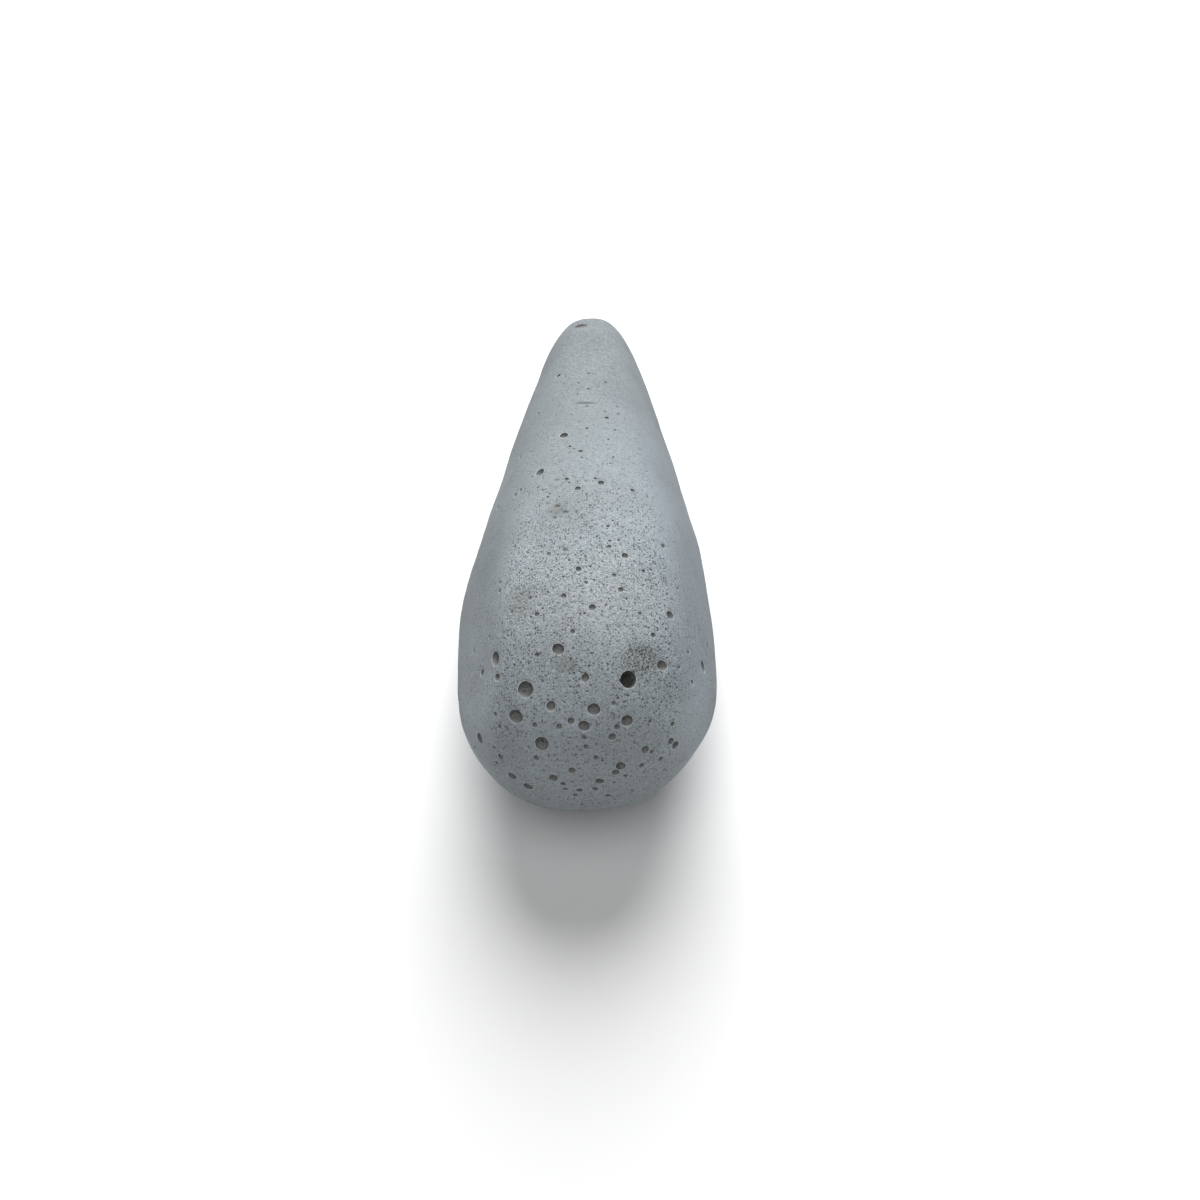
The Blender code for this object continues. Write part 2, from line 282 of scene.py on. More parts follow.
# Where the stone is darker or paler than elsewhere, as a share of its lightness. The shades of the flanks,
# of the low blunt end and of the right side are painted shade, and the left edge's gain is painted light.
TIP_SHADE = 0.31
# painted shade on the flanks
FLANK_PAINTED_SHADE = 0.15
CORNER_GAIN = 0.32  # where a flank meets the blunt end
# painted shade low on the blunt end, where it curves under
LOW_END_PAINTED_SHADE = 0.12
# painted shade on the right flank towards the blunt end
RIGHT_PAINTED_SHADE = 0.05
BROW_GAIN = 0.11  # of the roughest belt across the top
LEFT_EDGE_PAINTED_LIGHT = 0.08  # painted light along the rounded edge above the -X flank, sharpening its fold

# Between which places along the stone, or up it, these come on.
TIP_FADE = (-15.0, 40.0)
CORNER_FADE = (-42.0, -50.0)
LOW_END_FADE = (6.0, -6.0)
RIGHT_FADE = (-50.0, -42.0)

# Places along the stone where others are strongest, and how far they spread from there.
FLANK_DARKEST = (-20.0, 18.0)
BROW = (-31.0, 8.0)
LEFT_EDGE = (-30.0, 12.0)
LEFT_EDGE_FACING = (-0.45, 0.14)  # the same for the way that the edge's skin faces

# Faint clouds of paler or darker skin: middle, reach, and the share by which they are paler. The two darker
# ones on the right flank near the blunt end are painted shade along its fold.
CLOUDS_AND_PAINTED_SHADE = (
    ((-6.0, 30.0, 23.5), 9.0, -0.05),
    ((6.5, 30.0, 23.0), 9.0, 0.10),
    ((-10.0, 3.5, 22.5), 9.0, -0.11),
    ((-4.0, -20.0, 24.5), 7.0, -0.10),
    ((6.0, -21.0, 24.0), 6.0, 0.04),
    ((15.0, -15.0, 18.5), 6.0, 0.11),
    ((-13.5, -25.5, 19.5), 5.0, 0.14),
    ((16.5, -23.0, 16.5), 5.0, 0.08),
    ((1.0, -31.0, 23.0), 7.0, 0.07),
    ((1.0, -40.0, 20.5), 7.0, 0.05),
    ((14.0, -9.0, 19.5), 6.0, 0.05),
    ((-8.0, -55.0, 9.5), 5.0, 0.05),
    ((-11.0, 15.0, 21.0), 7.0, 0.06),
    ((11.0, 8.0, 21.0), 9.0, 0.05),
    # painted shade along the right flank's fold
    ((16.5, -36.0, 15.0), 5.0, -0.12),
    ((15.0, -46.0, 13.0), 5.0, -0.14),
    ((12.0, -54.0, 8.5), 6.0, 0.10),
    ((1.0, -55.5, 10.5), 6.0, 0.05),
)

# The material's patterns, with scales as features to the millimetre.
CLOUD_SCALE = 0.09  # of the slow change between the pale and the dark stone
GRAIN_SCALE = 3.6
GRAIN_GAIN = 0.3
BLOTCH_SCALE = 1.5
BLOTCH_GAIN = 0.16
PAINTED_GLINTS = (1.25, 0.35, 0.34)  # painted glints, as pale dots: scale, share of the cells that have one, radius
PAINTED_GLINT_STRENGTH = 0.45
COARSE_DOTS = (1.15, 0.6, 0.24)
FINE_DOTS = (2.3, 0.9, 0.18)
# how strongly the specks get painted shade
HOLE_SHADE_STRENGTH = 0.9
DOT_PITS = 1.2  # how deep the dots are against the grains
# how strong the painted highlight on the pores' lips is
RIM_HIGHLIGHT_STRENGTH = 0.85
MOTTLE_SCALE = 3.2  # of the pores' walls
MOTTLE_GAIN = 3.0
ROUGHNESS = 0.93
SHINE = 0.25
BUMP_STRENGTH = 0.7
BUMP_HEIGHT = 0.15 * MM

# Depths in millimetres where a pore's painted rim highlight comes and goes, its wall starts and painted
# shade darkens it.
RIM_HIGHLIGHT_START = (0.004, 0.02)
RIM_HIGHLIGHT_END = (0.04, 0.1)
WALL_START = (0.05, 0.15)
DEEP_SHADE_START = (0.9, 1.9)

# The lamps, as name, place, aim, width and watts; the floor and the world's faint light.
LAMPS = (
    ("key", (0.05, 0.67, 0.69), (0.0, 0.0, 0.02), 0.9, 16.7),
    ("fill", (0.0, -0.32, 0.91), (0.0, 0.0, 0.02), 0.9, 4.0),
)
FLOOR_HALF = 3.0
FLOOR_COLOUR = (0.85, 0.85, 0.85, 1.0)
FLOOR_ROUGHNESS = 0.9
WORLD_COLOUR = (0.9, 0.95, 1.0, 1.0)
WORLD_STRENGTH = 0.05

# The camera, about the body's middle: distance, elevation, yaw and roll, and the image point that the
# body's middle falls on, in a frame of FRAME_SIZE pixels.
CAMERA_DISTANCE = 184.9
CAMERA_ELEVATION = math.radians(43.62)
CAMERA_YAW = math.radians(2.38)
CAMERA_ROLL = math.radians(-2.1)
FOCAL_PIXELS = 908.7
FRAME_SIZE = 1200
MIDDLE_PIXEL = (590.2, 537.6)
SENSOR_WIDTH = 36.0


def rounded_sum(first, second, power):
    """Joins two measures of fullness: the larger one, with a rounded turn where they are alike."""
    largest = np.maximum(np.maximum(first, second), 1e-9)
    return largest * ((first / largest) ** power + (second / largest) ** power) ** (1.0 / power)


def edge_power(powers, along):
    """Crispness of the long edges at a place along the stone."""
    fade = np.clip((along - EDGE_FADE_START) / (EDGE_FADE_END - EDGE_FADE_START), 0.0, 1.0)
    blunt, tip = powers
    return blunt ** (1.0 - fade) * tip**fade


def facing(azimuth, elevation):
    """Unit direction for an azimuth from +X towards +Y and an elevation, both in degrees."""
    turn, rise = math.radians(azimuth), math.radians(elevation)
    return np.array([math.cos(turn) * math.cos(rise), math.sin(turn) * math.cos(rise), math.sin(rise)])


def fullness(points):
    """How full the worn body is at each point: 1 on its surface, less inside, more outside."""
    along = points[:, 1] / HALF_LENGTH
    across = points[:, 0] / HALF_WIDTH / (1.0 - PLAN_TAPER * along)
    top = points[:, 2] / TOP_HEIGHT / (1.0 - TOP_TAPER * along)
    belly = -points[:, 2] / BELLY_DEPTH / (1.0 - BELLY_TAPER * along)
    up = np.maximum(top, belly)
    lean = np.sqrt(up**2 + LEAN_START**2) - LEAN_START
    flank = np.abs(across) / np.maximum(1.0 - FLANK_LEAN * lean, 0.1)
    turn = np.clip(points[:, 2] / WAIST_BLEND, 0.0, 1.0)
    arch = BELLY_CROWN + (TOP_CROWN - BELLY_CROWN) * turn**2 * (3.0 - 2.0 * turn)
    crown = up + arch * np.abs(across) ** CROWN_POWER
    left = edge_power(LEFT_EDGE_POWERS, along)
    right = edge_power(RIGHT_EDGE_POWERS, along)
    section = rounded_sum(crown, flank, np.where(across < 0.0, left, right))
    end_power = np.where(along < 0.0, BLUNT_END_POWER, TIP_END_POWER)
    full = rounded_sum(section, np.abs(along), end_power)
    for azimuth, elevation, distance, crispness in WORN_FACES:
        beyond = np.maximum(points @ facing(azimuth, elevation) / distance, 0.0)
        full = rounded_sum(full, beyond, crispness)
    return full


def swell(point):
    """Height of the uneven wear at one point."""
    return sum(height * noise.noise(Vector(point) / breadth) for breadth, height in SWELLS)


def swells(points):
    return np.array([swell(point) for point in points])


def meet_surface(outside, inside):
    """Where the line from each outside point to its inside point enters the worn body."""
    outside = np.array(outside, float)
    inside = np.array(inside, float)
    for _ in range(30):
        middle = (outside + inside) / 2.0
        within = (fullness(middle) < 1.0)[:, None]
        inside = np.where(within, middle, inside)
        outside = np.where(within, outside, middle)
    return outside


def slopes(points):
    """Gradient of the fullness at points."""
    step = 0.05
    sides = np.eye(3) * step
    rises = [fullness(points + side) - fullness(points - side) for side in sides]
    return np.stack([rise / (2.0 * step) for rise in rises], axis=1)


def outward(points):
    """Unit normals of the worn body at points on it."""
    found = slopes(points)
    return found / np.linalg.norm(found, axis=1, keepdims=True)


def worn_surface(outside, inside):
    """Points on the finished surface, swells included, and its normals there."""
    points = meet_surface(outside, inside)
    normals = outward(points)
    return points + normals * swells(points)[:, None], normals


def box_shell(cells):
    """Corners and faces of a box from -1 to 1 whose sides are divided into cells."""
    corners = {}
    faces = []
    for axis in range(3):
        first, second = (axis + 1) % 3, (axis + 2) % 3
        for side in (0, cells[axis]):
            for i in range(cells[first]):
                for j in range(cells[second]):
                    ring = [(i, j), (i + 1, j), (i + 1, j + 1), (i, j + 1)]
                    if side == 0:
                        ring.reverse()
                    face = []
                    for u, v in ring:
                        spot = [0, 0, 0]
                        spot[axis], spot[first], spot[second] = side, u, v
                        face.append(corners.setdefault(tuple(spot), len(corners)))
                    faces.append(face)
    spread = [[2.0 * spot[k] / cells[k] - 1.0 for k in range(3)] for spot in corners]
    return np.array(spread), faces


def body_mesh(cells):
    """The worn body without pores, cut off flat at the belly, and the depth of that flat."""
    corners, faces = box_shell(cells)
    spokes = np.tan(corners * math.pi / 4.0) * HALF_SIZES
    points, _ = worn_surface(spokes * 2.0, np.zeros_like(spokes))
    shell = bmesh.new()
    made = [shell.verts.new(Vector(point)) for point in points]
    for face in faces:
        shell.faces.new([made[index] for index in face])
    rest_depth = max(vert.co.dot(DOWN) for vert in shell.verts) - REST_WEAR
    cut = bmesh.ops.bisect_plane(
        shell,
        geom=shell.verts[:] + shell.edges[:] + shell.faces[:],
        dist=0.02,
        plane_co=DOWN * rest_depth,
        plane_no=DOWN,
        clear_outer=True,
    )
    rim = [item for item in cut["geom_cut"] if isinstance(item, bmesh.types.BMEdge)]
    for vert in {vert for edge in rim for vert in edge.verts}:
        vert.co += DOWN * (rest_depth - vert.co.dot(DOWN))
    bmesh.ops.contextual_create(shell, geom=rim)
    bmesh.ops.recalc_face_normals(shell, faces=shell.faces[:])
    return shell, rest_depth


def meeting(places, near, far):
    """Points and normals where each place's line, from its near end to its far end, enters the stone."""
    starts = np.array([near(*place) for place in places], float)
    ends = np.array([far(*place) for place in places], float)
    return worn_surface(starts, ends)


def from_above(pores):
    """Place, normal, width and depth share of pores listed as across, along, width."""
    points, normals = meeting(pores, lambda x, y, _: (x, y, OUTSIDE), lambda x, y, _: (x, y, 0.0))
    return [[point, normal, pore[2], PORE_DEPTH] for point, normal, pore in zip(points, normals, pores)]


def from_the_end(pores):
    """The same for pores listed as across, up, width."""
    points, normals = meeting(
        pores, lambda x, z, _: (x, BEFORE_END, z), lambda x, z, _: (x, INSIDE_END, z)
    )
    return [[point, normal, pore[2], PORE_DEPTH] for point, normal, pore in zip(points, normals, pores)]


def from_the_side(pores):
    """The same for pores listed as side (-1 or 1), along, up, width."""
    points, normals = meeting(
        pores, lambda side, y, z, _: (OUTSIDE * side, y, z), lambda side, y, z, _: (0.0, y, z)
    )
    return [[point, normal, pore[3], PORE_DEPTH] for point, normal, pore in zip(points, normals, pores)]


def dished(pores):
    """The same pores, worn down to shallow dishes."""
    return [[point, normal, width, DISH_DEPTH] for point, normal, width, _ in pores]


def strewn_pores(taken, rest_depth):
    """Pores at random on the faces that the listed ones leave bare, thickest at the blunt end."""
    draw = random.Random(STREWN_SEED)
    smallest, largest = STREWN_WIDTHS
    pores = []
    while len(pores) < STREWN_PORES:
        spoke = np.array([[draw.gauss(0, 1) for _ in range(3)]])
        spoke *= HALF_SIZES / np.linalg.norm(spoke)
        keep = draw.random()
        width = smallest * (largest / smallest) ** (draw.random() ** STREWN_POWER)
        points, normals = worn_surface(spoke * 3.0, np.zeros((1, 3)))
        point, normal = points[0], normals[0]
        shown = normal[2] > FACING_UP or normal[1] < -FACING_END
        thickness = 0.9 - 0.7 * (point[1] / HALF_LENGTH + 1.0) / 2.0
        low = Vector(point).dot(DOWN) + width > rest_depth - REST_MARGIN
        if shown or low or keep > thickness:
            continue
        near = any(
            np.linalg.norm(point - other[0]) < (width + other[2]) / 2.0 + PORE_GAP
            for other in taken + pores
        )
        if not near:
            pores.append([point, normal, width, PORE_DEPTH])
    return pores


def thickness_of_pores(points, normals):
    """How thickly fine pores lie: most on and near the blunt end, fewest on the flanks."""
    blunt = 1.0 - np.clip((points[:, 1] / HALF_LENGTH + 0.9) / 1.5, 0.0, 1.0)
    flank = np.clip((np.abs(normals[:, 0]) - 0.55) / 0.3, 0.0, 1.0)
    return (0.15 + 0.85 * blunt**1.3) * (1.0 - 0.7 * flank)


def random_places(mesh, count, draws):
    """Points at random on a mesh, evenly by area."""
    mesh.calc_loop_triangles()
    corners = np.array([vert.co[:] for vert in mesh.vertices])
    faces = np.array([triangle.vertices[:] for triangle in mesh.loop_triangles])
    first, second, third = (corners[faces[:, k]] for k in range(3))
    areas = np.linalg.norm(np.cross(second - first, third - first), axis=1)
    chosen = draws.choice(len(faces), count, p=areas / areas.sum())
    along, across = draws.random((2, count, 1))
    flip = along + across > 1.0
    along, across = np.where(flip, 1.0 - along, along), np.where(flip, 1.0 - across, across)
    return first[chosen] + along * (second - first)[chosen] + across * (third - first)[chosen]


def fine_pores(mesh, taken, rest_depth):
    """Small pores at random, clear of each other and of the pores that are there already."""
    draws = np.random.default_rng(FINE_SEED)
    points = random_places(mesh, FINE_PORES * FINE_TRIES, draws)
    normals = outward(points)
    keep = draws.random(len(points)) < thickness_of_pores(points, normals)
    smallest, largest = FINE_WIDTHS
    shown = (normals[:, 2] > FACING_UP) | (normals[:, 1] < -FACING_END)
    largest = np.where(shown, SHOWN_FINE_WIDTH, largest)
    widths = smallest * (largest / smallest) ** (draws.random(len(points)) ** FINE_POWER)
    centres = np.array([pore[0] for pore in taken])
    reaches = np.array([reach(pore[2]) for pore in taken])
    pores = []
    for point, normal, width, kept in zip(points, normals, widths, keep):
        if len(pores) == FINE_PORES:
            break
        if not kept or point @ np.array(DOWN) > rest_depth - 0.05 - width / 2.0:
            continue
        if np.any(np.linalg.norm(centres - point, axis=1) < reaches + reach(width)):
            continue
        pores.append([point, normal, width, draws.uniform(*FINE_DEPTHS)])
        centres = np.vstack([centres, point])
        reaches = np.append(reaches, reach(width))
    return pores


def lip_flare(width):
    """How far the lip of a pore opens beyond its wall."""
    return LIP_FLARE[0] * min(width, 1.0) + LIP_FLARE[1] * width


def cutter_profile(width, depth_share, rings):
    """Radii and heights of a cutter's rings: a bowl, a flared lip and the sides of its cap."""
    depth = width * depth_share
    flare = lip_flare(width) * min(depth_share / PORE_DEPTH, 1.0)
    lip = LIP_SLOPE * flare
    last = math.acos((lip / depth) ** (BOWL_POWER / 2.0))
    angles = np.linspace(0.0, last, rings + 1)[1:]
    radii = width / 2.0 * np.sin(angles) ** (2.0 / BOWL_POWER)
    heights = -depth * np.cos(angles) ** (2.0 / BOWL_POWER)
    mouth = width / 2.0 + flare
    brim = mouth + 0.5 * flare
    return np.append(radii, [mouth, brim, brim]), np.append(heights, [0.0, lip, CAP_RISE])


def cutter_faces(rings, sides):
    """Faces of a turned cutter: its bottom point is corner 0, its top point is the last one."""
    faces = []
    for side in range(sides):
        after = (side + 1) % sides
        faces.append((0, 1 + after, 1 + side))
        for ring in range(rings - 1):
            low, high = 1 + ring * sides, 1 + (ring + 1) * sides
            faces.append((low + side, low + after, high + after))
            faces.append((low + side, high + after, high + side))
        top = 1 + (rings - 1) * sides
        faces.append((top + side, top + after, 1 + rings * sides))
    return faces


def draw_stretch(pore, draw):
    """The way along the skin that a pore is long, and its stretch: as the pore has them, or at random."""
    normal = pore[1]
    way = np.array([draw.uniform(-1.0, 1.0) for _ in range(3)])
    most = PORE_STRETCH if pore[2] < SHADED_WIDTH else LISTED_STRETCH
    stretch = 1.0 + most * draw.random()
    if len(pore) > 4:
        way = np.array(pore[4])
        stretch = pore[5]
    along = way - (way @ normal) * normal
    return along / np.linalg.norm(along), stretch


def unevenness(spot, seed):
    """How far out a spot of a cutter lies against where it would be in an even one."""
    broad = PORE_UNEVENNESS * noise.noise(spot * 1.3 + seed)
    fine = FINE_UNEVENNESS * noise.noise(spot * 4.5 + seed)
    return 1.0 + broad + fine


def cutter_corners(pore, rings, sides, draw):
    """Corners of one pore's cutter on the plane that touches the stone there, their heights and normals."""
    point, normal, width, depth_share = pore[:4]
    radii, heights = cutter_profile(width, depth_share, rings)
    around = np.arange(sides) * math.tau / sides
    seed = Vector([draw.uniform(0.0, 90.0) for _ in range(3)])
    long_way, stretch = draw_stretch(pore, draw)
    spots = [(0.0, 0.0, -width * depth_share)]
    for radius, height in zip(radii, heights):
        spots += [(radius * math.cos(angle), radius * math.sin(angle), height) for angle in around]
    spots.append((0.0, 0.0, CAP_RISE))
    spots = np.array(spots)
    scaled = [Vector((x, y, min(z, 0.0))) * 2.0 / width for x, y, z in spots]
    uneven = np.array([unevenness(spot, seed) for spot in scaled])
    spots[:, 0] *= uneven * stretch
    spots[:, 1] *= uneven / stretch
    spots[:, 2] = np.where(spots[:, 2] < 0.0, spots[:, 2] * uneven, spots[:, 2])
    turn = np.array([long_way, np.cross(normal, long_way), normal])
    return spots @ turn + point, spots[:, 2], np.repeat([normal], len(spots), axis=0)


def bent_to_surface(corners, heights, normals, depths):
    """The corners moved along their pore's normal, so that heights count from the uneven skin itself.

    The bottom of a pore stays put, and its lip and cap move the most.
    """
    fall = np.linalg.norm(slopes(corners), axis=1)
    found = (fullness(corners) - 1.0) / fall - swells(corners)
    share = np.clip(1.0 + np.minimum(heights, 0.0) / depths, 0.0, 1.0)
    return corners + normals * (share * (heights - found))[:, None]


def cutters_for(pores):
    """One mesh of all the pores' cutters."""
    draw = random.Random(FINE_SEED + 1)
    parts, faces, count = [], [], 0
    for pore in pores:
        _, rings, sides = next(grade for grade in CUTTER_GRADES if pore[2] >= grade[0])
        corners, heights, normals = cutter_corners(pore, rings, sides, draw)
        faces += [[index + count for index in face] for face in cutter_faces(rings + 3, sides)]
        parts.append((corners, heights, normals, np.full(len(corners), pore[2] * pore[3])))
        count += len(corners)
    corners = bent_to_surface(*(np.concatenate(column) for column in zip(*parts)))
    mesh = bpy.data.meshes.new("cutters")
    mesh.from_pydata(corners.tolist(), [], faces)
    item = bpy.data.objects.new("cutters", mesh)
    bpy.context.scene.collection.objects.link(item)
    return item


def reach(width):
    """The furthest that the cutter of a pore can go from the pore's middle, along the surface."""
    return CUTTER_SPREAD * (width / 2.0 + 1.5 * lip_flare(width))


def apart(pore, other):
    """Whether the cutters of two pores can't touch."""
    return np.linalg.norm(pore[0] - other[0]) > reach(pore[2]) + reach(other[2])


def in_batches(pores):
    """The pores in groups within which no two cutters touch."""
    groups = []
    for pore in pores:
        home = next((group for group in groups if all(apart(pore, other) for other in group)), None)
        if home is None:
            home = []
            groups.append(home)
        home.append(pore)
    return groups


def carve(stone, cutters):
    """Cuts the pores out of the stone and keeps the result as the stone's own mesh."""
    cut = stone.modifiers.new("pores", "BOOLEAN")
    cut.operation = "DIFFERENCE"
    cut.solver = "MANIFOLD"
    cut.object = cutters
    graph = bpy.context.evaluated_depsgraph_get()
    carved = bpy.data.meshes.new_from_object(stone.evaluated_get(graph))
    stone.modifiers.clear()
    plain = stone.data
    stone.data = carved
    bpy.data.meshes.remove(plain)
    bpy.data.objects.remove(cutters, do_unlink=True)


def mesh_points(mesh):
    found = np.empty(len(mesh.vertices) * 3)
    mesh.vertices.foreach_get("co", found)
    return found.reshape(-1, 3)


def add_attribute(mesh, name, values):
    layer = mesh.attributes.new(name, "FLOAT", "POINT")
    layer.data.foreach_set("value", np.asarray(values, np.float32))


def back_of_pores(points, pores):
    """How far each point lies towards the back of the wider pore it is in, as a share of the radius."""
    back = np.zeros(len(points))
    for point, _, width in (pore[:3] for pore in pores):
        if width >= SHADED_WIDTH:
            away = (points - point) * 2.0 / width
            near = np.linalg.norm(away, axis=1) < BACK_REACH
            back[near] = away[near] @ np.array(BACK_OF_PORE)
    return back


def is_skin(points, plain):
    """Which points are those of the stone before its pores were cut, in the same places."""
    plain = {tuple(spot) for spot in np.round(plain, 3).tolist()}
    return np.array([tuple(spot) in plain for spot in np.round(points, 3).tolist()])


def mark_points(mesh, plain, rest_depth, pores):
    """Keeps what the material needs to know of each point, such as its depth in millimetres."""
    points = mesh_points(mesh)
    fall = slopes(points)
    steepness = np.linalg.norm(fall, axis=1)
    depth = (1.0 - fullness(points)) / steepness + swells(points)
    normals = fall / steepness[:, None]
    above_rest = rest_depth - points @ np.array(DOWN)
    depth = np.clip(np.minimum(depth, above_rest) - SKIN_TOLERANCE, 0.0, DEEPEST_MARKED)
    depth[is_skin(points, plain)] = 0.0
    add_attribute(mesh, "depth", depth)
    # where the painted shade and painted highlights fall in the wider pores
    add_attribute(mesh, "back", back_of_pores(points, pores))
    add_attribute(mesh, "grain", grain_strength(points, normals))
    add_attribute(mesh, "blotch", blotchiness(points, normals))
    # tone, with painted shade and painted light
    add_attribute(mesh, "tone_and_painted_light", tone_and_painted_light(points, normals))
    # painted bluish light along the right side
    add_attribute(mesh, "painted_blue_light", painted_blue_light_share(points, normals))


def rise(values, start, end):
    """0 on the start's side, 1 on the end's side, and even between the two."""
    return np.clip((values - start) / (end - start), 0.0, 1.0)


def peak(values, middle, spread):
    """1 at the middle, falling off smoothly to both sides."""
    return np.exp(-(((values - middle) / spread) ** 2))


def grain_strength(points, normals):
    """How rough the stone's skin is: most on the top near the blunt end, least on the flanks."""
    flank = rise(np.abs(normals[:, 0]), 0.58, 0.74)
    end = rise(-normals[:, 1], 0.45, 0.8)
    strength = np.interp(points[:, 1], *zip(*GRAIN_ALONG))
    return strength * (1.0 - SMOOTH_FLANK * flank) * (1.0 - SMOOTH_END * end)


def blotchiness(points, normals):
    """How blotchy the stone is: most at the tip, and least on the flanks."""
    flank = rise(np.abs(normals[:, 0]), 0.45, 0.8)
    return np.interp(points[:, 1], *zip(*BLOTCHES_ALONG)) * (1.0 - SMOOTH_FLANK * flank)


def painted_blue_light_share(points, normals):
    """How much painted bluish light the stone has: only along its right side, up to the narrow half."""
    right = rise(normals[:, 0], 0.2, 0.7)
    return right * np.interp(points[:, 1], *zip(*PAINTED_BLUE_LIGHT_ALONG))


def tone_and_painted_light(points, normals):
    """How light the stone is against its usual colour, by the tones, painted shade and painted light above.
    """
    along, up = points[:, 1], points[:, 2]
    flank = rise(np.abs(normals[:, 0]), 0.5, 0.85)
    light = 1.0 - TIP_SHADE * rise(along, *TIP_FADE)
    # painted shade on the flanks
    light *= 1.0 - FLANK_PAINTED_SHADE * flank * peak(along, *FLANK_DARKEST)
    light *= 1.0 + CORNER_GAIN * flank * rise(along, *CORNER_FADE)
    # painted shade low on the blunt end
    light *= 1.0 - LOW_END_PAINTED_SHADE * rise(-normals[:, 1], 0.4, 0.8) * rise(up, *LOW_END_FADE)
    # painted shade on the right flank
    light *= 1.0 - RIGHT_PAINTED_SHADE * rise(normals[:, 0], 0.5, 0.85) * rise(along, *RIGHT_FADE)
    light *= 1.0 + BROW_GAIN * rise(normals[:, 2], 0.3, 0.7) * peak(along, *BROW)
    # painted light along the left edge
    light *= 1.0 + LEFT_EDGE_PAINTED_LIGHT * peak(normals[:, 0], *LEFT_EDGE_FACING) * peak(along, *LEFT_EDGE)
    for middle, size, gain in CLOUDS_AND_PAINTED_SHADE:
        away = np.linalg.norm(points - np.array(middle), axis=1)
        light *= 1.0 + gain * peak(away, 0.0, size)
    return light


def mesh_object(name, shell):
    mesh = bpy.data.meshes.new(name)
    shell.to_mesh(mesh)
    shell.free()
    item = bpy.data.objects.new(name, mesh)
    bpy.context.scene.collection.objects.link(item)
    return item


def rest_matrix(stone, bounds):
    """From the body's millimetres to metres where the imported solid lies, with the flat down."""
    corners = np.array([(REST_TURN @ vert.co)[:] for vert in stone.data.vertices])
    low, high = corners.min(axis=0), corners.max(axis=0)
    bottom = Vector(((low[0] + high[0]) / 2.0, (low[1] + high[1]) / 2.0, low[2]))
    place = (Vector(bounds[0]) + Vector(bounds[1])) / 2.0
    place.z = bounds[0][2]
    return Matrix.Translation(place) @ Matrix.Scale(MM, 4) @ Matrix.Translation(-bottom) @ REST_TURN


def camera_turn():
    """Right, up and back of the camera in the body's own frame."""
    sine, cosine = math.sin(CAMERA_ELEVATION), math.cos(CAMERA_ELEVATION)
    back = Vector((math.sin(CAMERA_YAW) * cosine, -math.cos(CAMERA_YAW) * cosine, sine))
    right = Vector((0.0, 0.0, 1.0)).cross(back).normalized()
    above = back.cross(right)
    leant = math.cos(CAMERA_ROLL) * right + math.sin(CAMERA_ROLL) * above
    upright = -math.sin(CAMERA_ROLL) * right + math.cos(CAMERA_ROLL) * above
    return leant, upright, back


def add_camera(to_row):
    right, above, back = camera_turn()
    turn = Matrix((right, above, back)).transposed().to_4x4()
    data = bpy.data.cameras.new("photo_camera")
    data.sensor_width = SENSOR_WIDTH
    data.lens = FOCAL_PIXELS / FRAME_SIZE * SENSOR_WIDTH
    data.shift_x = (FRAME_SIZE / 2 - MIDDLE_PIXEL[0]) / FRAME_SIZE
    data.shift_y = (MIDDLE_PIXEL[1] - FRAME_SIZE / 2) / FRAME_SIZE
    data.clip_start = 0.01
    camera = bpy.data.objects.new("photo_camera", data)
    bpy.context.scene.collection.objects.link(camera)
    place = to_row @ (back * CAMERA_DISTANCE)
    rotation = REST_TURN.to_3x3() @ turn.to_3x3()
    camera.matrix_world = Matrix.Translation(place) @ rotation.to_4x4()
    bpy.context.scene.camera = camera


def add_lamp(name, place, aim, size, power):
    data = bpy.data.lights.new(name, "AREA")
    data.shape = "DISK"
    data.size = size
    data.energy = power
    lamp = bpy.data.objects.new(name, data)
    bpy.context.scene.collection.objects.link(lamp)
    lamp.location = place
    lamp.rotation_euler = (Vector(place) - Vector(aim)).to_track_quat("Z", "Y").to_euler()


def add_floor():
    half = FLOOR_HALF
    corners = [(-half, -half, 0.0), (half, -half, 0.0), (half, half, 0.0), (-half, half, 0.0)]
    data = bpy.data.meshes.new("floor")
    data.from_pydata(corners, [], [(0, 1, 2, 3)])
    floor = bpy.data.objects.new("floor", data)
    bpy.context.scene.collection.objects.link(floor)
    material = bpy.data.materials.new("floor")
    material.use_nodes = True
    shader = material.node_tree.nodes["Principled BSDF"]
    shader.inputs["Base Color"].default_value = FLOOR_COLOUR
    shader.inputs["Roughness"].default_value = FLOOR_ROUGHNESS
    data.materials.append(material)


def add_world():
    world = bpy.data.worlds.new("studio")
    world.use_nodes = True
    backdrop = world.node_tree.nodes["Background"]
    backdrop.inputs["Color"].default_value = WORLD_COLOUR
    backdrop.inputs["Strength"].default_value = WORLD_STRENGTH
    bpy.context.scene.world = world


